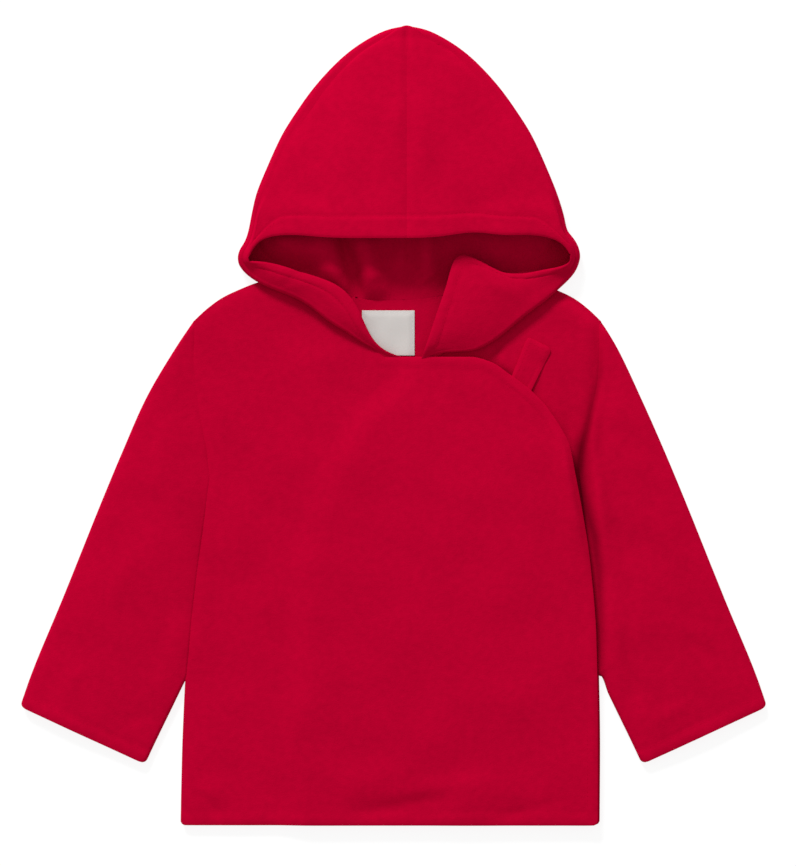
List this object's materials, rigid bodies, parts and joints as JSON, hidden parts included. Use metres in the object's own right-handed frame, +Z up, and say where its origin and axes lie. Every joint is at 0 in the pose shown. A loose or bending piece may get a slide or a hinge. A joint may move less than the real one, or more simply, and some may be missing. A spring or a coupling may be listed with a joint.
{
  "type": "hooded fleece jacket",
  "caption": "Small child's hooded fleece jacket with a wrap front and a closure tab, laid flat on its back with the hood open towards the front.",
  "frame": {"origin": "middle of the outline box, at the level of the surface that the garment lies on", "axes": "+X towards the wearer's left sleeve, +Y from the hem to the hood's peak, +Z up from the surface to the garment's front"},
  "size_m": [0.5386, 0.5762, 0.0255],
  "materials": {
    "fleece": "matt brushed fleece with a short nap",
    "label_satin": "smooth woven satin"
  },
  "bodies": {
    "root": {"back_panel": "fleece", "overlap_front": "fleece", "underlap_front": "fleece", "sleeve_right": "fleece", "sleeve_left": "fleece", "hood_right": "fleece", "hood_left": "fleece", "closure_tab": "fleece", "neck_label": "label_satin"}
  },
  "joints": []
}
